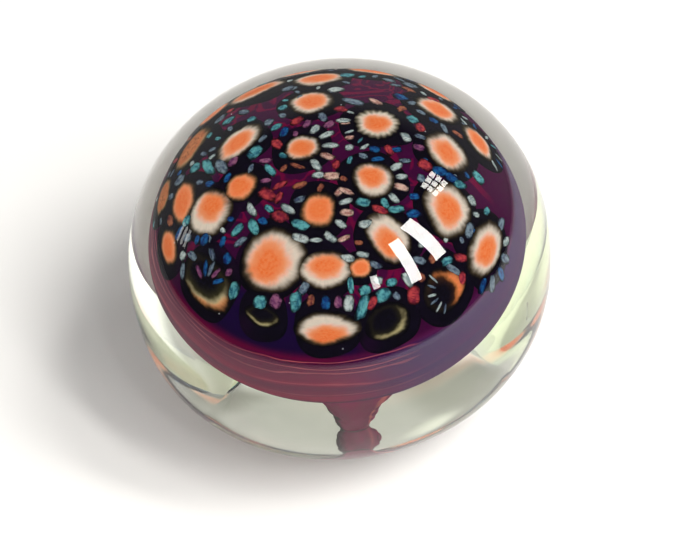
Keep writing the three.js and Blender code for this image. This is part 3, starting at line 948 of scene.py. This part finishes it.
# ---- the ground and its stem --------------------------------------------
def build_ground():
    bottom = STEM_SPLIT_Z - 0.2 * MM
    profile = [(0.0, bottom)]
    for i in range(FUNNEL_ROWS):
        z = bottom + (CAP_RIM_Z - STEM_SPLIT_Z) * i / FUNNEL_ROWS
        profile.append((funnel_radius(z), z))
    for i in range(CAP_ROWS + 1):
        a = math.pi / 2 * i / CAP_ROWS
        r = CAP_RADIUS * math.cos(a) if i < CAP_ROWS else 0.0
        profile.append((r, CAP_RIM_Z + CAP_RISE * math.sin(a)))

    def shift(r, z, a):
        if r > 0:
            r += neck_swell(z)
        if z > CAP_RIM_Z - 2 * MM or z < STEM_SPLIT_Z + 3 * MM:
            return r, z
        p = Vector((math.cos(a) * 1.4, math.sin(a) * 1.4, z * 90))
        return r * (1 + GROUND_RIPPLE * noise.noise(p)), z

    verts, faces = turned(profile, GROUND_SIDES, shift)
    return new_object("ground_mushroom", verts, faces)


def stem_radius(z, a):
    """Torn edges on both flanks of the drawn neck."""
    flank = abs(math.cos(a)) ** 4
    side = 1.0 if math.cos(a) > 0 else -1.0
    tear = noise.noise(Vector((side * 3.1, 0.4, z * 950)))
    tooth = z * 1400 + 1.5 * noise.noise(Vector((side * 7.7, 1.4, z * 700)))
    saw = tooth - math.floor(tooth) - 0.5
    wave = noise.noise(Vector((math.cos(a) * 1.2, math.sin(a) * 1.2, z * 240)))
    drawn = max(0.0, 1 - z / STEM_TOP_Z)
    r = funnel_radius(z) * (1 - STEM_NARROWING * drawn) + neck_swell(z)
    settled = min(1.0, z / (2.0 * MM))
    return r + STEM_WAVE * wave + flank * settled * (TEAR_DEPTH * tear + TOOTH_DEPTH * saw)


def build_stem():
    top = STEM_SPLIT_Z + 0.1 * MM
    levels = [STEM_FOOT_Z + (top - STEM_FOOT_Z) * i / STEM_ROWS
              for i in range(STEM_ROWS + 1)]
    profile = [(0.0, STEM_FOOT_Z), *((1.0, z) for z in levels), (0.0, top)]
    verts, faces = turned(profile, STEM_SIDES, lambda r, z, a: (stem_radius(z, a), z))
    verts = [(x - STEM_LEAN * max(0.0, 1 - z / STEM_SPLIT_Z), y, z) for x, y, z in verts]
    return new_object("stem_torn", verts, faces)


def build_glass():
    profile = [(0.0, 0.0)]
    for share in (0.25, 0.5, 0.75, 0.95):
        profile.append((BASE_RADIUS * share, 0.0))
    profile += body_profile()

    def shift(r, z, a):
        if z < 1 * MM:
            return r, z
        r *= 1 + OVAL_SHARE * math.cos(2 * (a - OVAL_TURN)) * min(1.0, z / (8 * MM))
        p = Vector((math.cos(a) * r * 45, math.sin(a) * r * 45, z * 45))
        ripple = 0.05 + 0.10 * max(0.0, 1 - z / EQUATOR_Z)
        dent = ripple * MM * (noise.noise(p) - 0.5)
        fade = min(1.0, (z - 1 * MM) / (6 * MM))
        return r * (1 + dent * fade / BODY_RADIUS), z

    verts, faces = turned(profile, BODY_SIDES, shift)
    return new_object("clear_body", verts, faces)


# Seed bubbles over the cap: azimuth and tilt in degrees, height over the
# ground in millimetres.
BUBBLES = [(-138, 78, 0.7), (-93, 83, 0.5), (-112, 60, 0.9), (-60, 52, 0.8),
           (20, 40, 1.2), (130, 55, 0.9), (-170, 70, 1.1), (75, 30, 1.0)]
BUBBLE_RADIUS = 0.09 * MM


def build_bubbles():
    """A few seed bubbles in the clear glass just over the ground."""
    verts, faces = [], []
    size, rows, sides = BUBBLE_RADIUS, 6, 10
    for az, tilt, lift in BUBBLES:
        seat = Seat(math.radians(az), math.radians(tilt))
        centre = seat.place(0, 0, lift * MM)
        start = len(verts)
        verts.append(centre + Vector((0, 0, -size)))
        for j in range(1, rows):
            lat = -math.pi / 2 + math.pi * j / rows
            for i in range(sides):
                lon = 2 * math.pi * i / sides
                verts.append(centre + size * Vector((
                    math.cos(lat) * math.cos(lon), math.cos(lat) * math.sin(lon),
                    math.sin(lat))))
        verts.append(centre + Vector((0, 0, size)))
        last = len(verts) - 1
        for i in range(sides):
            n = (i + 1) % sides
            faces.append((start, start + 1 + n, start + 1 + i))
            for j in range(rows - 2):
                a = start + 1 + j * sides
                faces.append((a + i, a + n, a + sides + n, a + sides + i))
            a = start + 1 + (rows - 2) * sides
            faces.append((a + i, a + n, last))
    return new_object("seed_bubbles", verts, faces)


# ---- put the object together --------------------------------------------
FLOWER_SLOTS = {"plain": "orange_glass", "drawn": "orange_glass", "night": "cream_glass"}


def settle(obj, slot, material, nodes=()):
    """Gives a piece its material, its body and what it replaces. The slot is not used."""
    obj.data.materials.append(material)
    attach(obj, "root")
    if nodes:
        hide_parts(*nodes)


def assemble():
    settle(build_glass(), "clear_glass", glass_material(), ["clear_encasement"])
    settle(build_ground(), "aubergine_glass", ground_material(), ["aubergine_ground"])
    settle(build_stem(), "stem_glass", stem_material(), ["aubergine_stem"])

    looks = {name: flower_material(f"flower_{name}", look)
             for name, look in LOOKS.items()}
    flowers = []
    for index, node in enumerate(FLOWERS):
        look = CASINGS[index][4]
        obj, seat, middle, size = build_flower(node, index)
        settle(obj, FLOWER_SLOTS.get(look, "orange_cream_glass"), looks[look], [node])
        flowers.append((seat, middle, size))

    settle(build_casing_bed(flowers), "black_casing_glass", casing_material(),
           ["casing_bed"])

    bins = {name: SlipBin() for name in TINTS}
    slips = {name: [] for name in TINTS}
    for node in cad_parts:
        if node.startswith("colour_slip_"):
            slips[node.rsplit("_", 1)[1]].append(node)
    add_chips(bins, flowers, add_staves(bins, flowers))
    for tint, slip_bin in bins.items():
        material = slip_material(f"slip_{tint}", *TINTS[tint])
        settle(slip_bin.build(f"cane_slips_{tint}"), SLOT_OF[tint], material, slips[tint])

    settle(build_bubbles(), "clear_glass", bubble_material())


# ---- floor, light and camera --------------------------------------------
FLOOR_HALF = 6.0
CAMERA_DISTANCE = 0.3636
CAMERA_ELEVATION = math.radians(48.9)
CAMERA_ROLL = math.radians(-7.4)
FOCAL_SHARE = 2.884  # focal length as a share of the picture's width
AIM_DOWN = 2.04 * MM


def build_floor():
    s = FLOOR_HALF
    z = -FLOOR_DROP
    floor = new_object("floor", [(-s, -s, z), (s, -s, z), (s, s, z), (-s, s, z)],
                       [(0, 1, 2, 3)], False)
    floor.data.materials.append(floor_material())


def direction(az, el):
    a, e = math.radians(az), math.radians(el)
    return Vector((math.cos(e) * math.cos(a), math.cos(e) * math.sin(a), math.sin(e)))


PANE_DISTANCE = 1.2
PANE_AIM = Vector((0, 0, 0.04))
DAYLIGHT = (1.0, 0.985, 0.96)
PANE_TURN = 30  # degrees by which the highlight of nine panes is turned
PANE_PITCH = 3.2


def window(name, az, el, wide, tall, roll, power):
    """A lit pane that faces the weight; sizes in degrees as seen from it."""
    light = bpy.data.lights.new(name, "AREA")
    light.shape = "RECTANGLE"
    light.size = 2 * PANE_DISTANCE * math.tan(math.radians(wide / 2))
    light.size_y = 2 * PANE_DISTANCE * math.tan(math.radians(tall / 2))
    light.energy = power * light.size * light.size_y
    light.color = DAYLIGHT
    obj = bpy.data.objects.new(name, light)
    bpy.context.scene.collection.objects.link(obj)
    out = direction(az, el)
    across = Vector((0, 0, 1)).cross(out).normalized()
    up = out.cross(across)
    turn = Matrix((across, up, out)).transposed()
    obj.matrix_world = (Matrix.Translation(PANE_AIM + out * PANE_DISTANCE)
                        @ turn.to_4x4() @ Matrix.Rotation(math.radians(roll), 4, "Z"))
    obj.visible_transmission = False
    return obj


def build_lights():
    window("window_a", -12.8, 51.3, 6.4, 28, -27, 76)
    window("window_b", -35.4, 52.6, 5.4, 29, -22, 76)
    turn = math.radians(PANE_TURN)
    for row in (-1, 0, 1):
        for column in (-1, 0, 1):
            side = PANE_PITCH * (column * math.cos(turn) - row * math.sin(turn))
            rise = PANE_PITCH * (column * math.sin(turn) + row * math.cos(turn))
            window(f"window_c{row}{column}", 29.9 + side / math.cos(math.radians(47)),
                   47.1 + rise, 2.5, 2.5, PANE_TURN, 52)
    window("window_d", -64.6, 52.9, 3.3, 9, -9, 50)
    for k in (-1, 0, 1):
        window(f"window_e{k}", 159.3 + 2.2 * k, 20.9 + 1.9 * k, 1.6, 9, 41, 13)
    # wide soft light for the floor alone, from the window side and the front
    for name, az, el, power in (("fill_side", -34, 38, 7.6), ("fill_front", -74, 48, 3.2)):
        fill = window(name, az, el, 44, 44, 0, power)
        fill.visible_glossy = False
    build_room()


# Lighter and darker parts of the room as seen through the glass: azimuth,
# elevation, outer and inner radius in degrees, and radiance.
GLOWS = [
    (-26, 47, 14, 5, (1.7, 1.7, 1.65, 1.0)),
    (-168, 54, 24, 7, (1.22, 1.30, 0.96, 1.0)),
    (112, 38, 14, 6, (1.15, 1.17, 1.02, 1.0)),
    (25, 62, 16, 4, (0.38, 0.38, 0.33, 1.0)),
    (124, 58, 13, 6, (0.40, 0.40, 0.35, 1.0)),
]
# Radiance of the room, as mirrored, as it falls on the floor, and as seen.
MIRRORED, MIRRORED_BACK = (0.06, 0.06, 0.065, 1.0), (0.30, 0.30, 0.29, 1.0)
AMBIENT = (0.30, 0.30, 0.30, 1.0)
SEEN_FRONT, SEEN_BACK = (0.72, 0.72, 0.70, 1.0), (0.56, 0.56, 0.52, 1.0)
SEEN_SKIRT, SEEN_DRIFT = (0.76, 0.76, 0.73, 1.0), (0.40, 0.40, 0.37, 1.0)
SEEN_OVERHEAD = (2.3, 2.28, 2.25, 1.0)


def build_room():
    """Daylight round the weight. What the skin mirrors is a dim room; what
    comes in through the glass, and what falls on the floor, is brighter."""
    world = bpy.data.worlds.new("room")
    bpy.context.scene.world = world
    world.use_nodes = True
    world.cycles.sampling_method = "NONE"
    nt = world.node_tree
    nt.nodes.clear()
    g = Graph(nt)
    where = nt.nodes.new("ShaderNodeTexCoord").outputs["Generated"]
    _, y, z = g.split(where)
    back = g.ramp(y, -0.05, 0.5)
    overhead = g.ramp(z, 0.89, 0.97)
    skirt = g.ramp(z, 0.74, 0.62)
    low = g.ramp(z, 0.62, 0.50)
    mirrored = g.mix(g.times(back, low), MIRRORED, MIRRORED_BACK)
    seen = g.mix(skirt, g.mix(back, SEEN_FRONT, SEEN_BACK), SEEN_SKIRT)
    drift = g.noise(where, 5.0, 3.0, 0.55, 0.6)
    seen = g.mix(g.ramp(drift, 0.40, 0.62, 0.30), seen, SEEN_DRIFT)
    for az, el, outer, inner, glow in GLOWS:
        toward = g.vector("DOT_PRODUCT", where, tuple(direction(az, el)))
        patch = g.ramp(toward, math.cos(math.radians(outer)), math.cos(math.radians(inner)))
        seen = g.mix(patch, seen, glow)
    seen = g.mix(overhead, seen, SEEN_OVERHEAD)
    path = nt.nodes.new("ShaderNodeLightPath").outputs
    colour = g.mix(path["Is Diffuse Ray"], mirrored, AMBIENT)
    colour = g.mix(path["Is Transmission Ray"], colour, seen)
    background = nt.nodes.new("ShaderNodeBackground")
    nt.links.new(colour, background.inputs["Color"])
    background.inputs["Strength"].default_value = 1.0
    out = nt.nodes.new("ShaderNodeOutputWorld")
    nt.links.new(background.outputs[0], out.inputs["Surface"])


def build_camera():
    data = bpy.data.cameras.new("camera")
    data.sensor_width = 36.0
    data.lens = data.sensor_width * FOCAL_SHARE
    data.clip_start = 0.01
    camera = bpy.data.objects.new("camera", data)
    bpy.context.scene.collection.objects.link(camera)
    forward = Vector((0, math.cos(CAMERA_ELEVATION), -math.sin(CAMERA_ELEVATION)))
    right = Vector((1, 0, 0))
    up = right.cross(forward)
    cr, sr = math.cos(CAMERA_ROLL), math.sin(CAMERA_ROLL)
    right, up = right * cr + up * sr, up * cr - right * sr
    look = Vector((0, 0, EQUATOR_Z)) - up * AIM_DOWN
    position = look - forward * CAMERA_DISTANCE
    turn = Matrix((right, up, -forward)).transposed()
    camera.matrix_world = Matrix.Translation(position) @ turn.to_4x4()
    bpy.context.scene.camera = camera


build_camera()
assemble()
build_floor()
build_lights()
bpy.context.scene.view_settings.view_transform = "Standard"
bpy.context.scene.cycles.max_bounces = 24
bpy.context.scene.cycles.transmission_bounces = 16
bpy.context.scene.cycles.glossy_bounces = 12
bpy.context.scene.cycles.sample_clamp_indirect = 4.0
